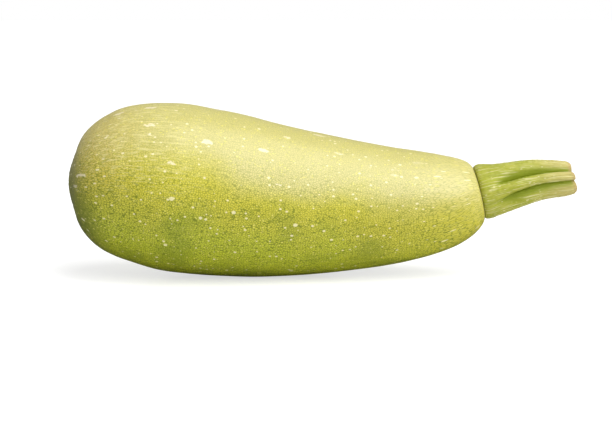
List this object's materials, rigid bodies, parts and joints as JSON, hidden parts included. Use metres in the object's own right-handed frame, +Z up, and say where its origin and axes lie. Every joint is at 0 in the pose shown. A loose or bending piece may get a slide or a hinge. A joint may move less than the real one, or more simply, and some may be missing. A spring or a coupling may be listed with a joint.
{
  "type": "courgette",
  "caption": "Pale green courgette lying on its side, broad at the blossom end and tapering to a short ridged stem, used whole as a fresh vegetable.",
  "frame": {"origin": "on the surface it lies on, under the middle of its whole length", "axes": "+X along its length from the blossom end to the stem, +Z up"},
  "size_m": [0.193, 0.0646, 0.0661],
  "materials": {
    "skin": "satin",
    "stem": "matte"
  },
  "bodies": {
    "root": {"fruit": "skin", "stem": "stem"}
  },
  "joints": []
}
